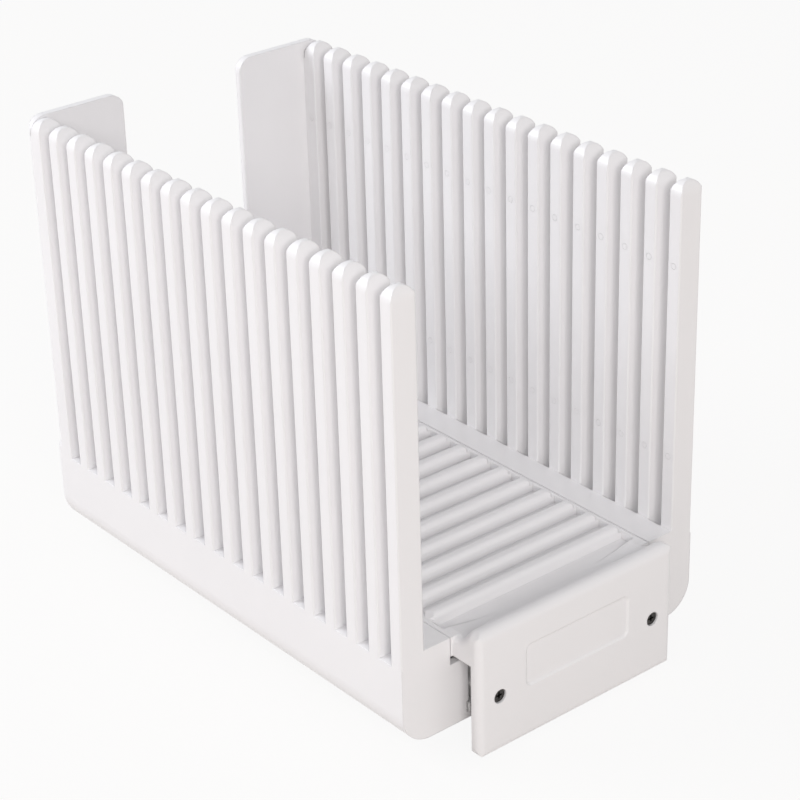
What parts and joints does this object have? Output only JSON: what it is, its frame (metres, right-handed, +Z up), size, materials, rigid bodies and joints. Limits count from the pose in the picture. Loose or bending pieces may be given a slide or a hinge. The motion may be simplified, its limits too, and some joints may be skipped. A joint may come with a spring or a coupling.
{
  "type": "bread slicer guide",
  "caption": "White plastic loaf slicing guide: two comb-shaped side walls with inturned end panels on a raised base, and a ribbed cutting tray that slides out by its front panel.",
  "frame": {"origin": "on the surface the guide stands on, under the middle of its bounding box", "axes": "+X to the right across the loaf, +Y from the front panel to the end panels, +Z up"},
  "size_m": [0.127, 0.2106, 0.1666],
  "materials": {
    "white_plastic": "smooth glossy moulded ABS",
    "base_plastic": "satin moulded ABS",
    "runner_plastic": "satin moulded plastic",
    "screw_steel": "plated steel screw",
    "pad_rubber": "matt rubber"
  },
  "bodies": {
    "stand": {"right_comb_half": "white_plastic", "left_comb_half": "white_plastic", "base_plate": "base_plastic", "base_screws": "screw_steel", "front_left_foot_pad": "pad_rubber", "front_right_foot_pad": "pad_rubber", "rear_left_foot_pad": "pad_rubber", "rear_right_foot_pad": "pad_rubber"},
    "tray": {"cutting_tray": "white_plastic", "left_runner": "runner_plastic", "right_runner": "runner_plastic", "panel_screws": "screw_steel", "runner_screws": "screw_steel"}
  },
  "joints": [
    {"name": "tray_slide", "type": "slide", "parent": "stand", "child": "tray", "axis": [0, -1, 0], "range_m": [0, 0.15]}
  ]
}
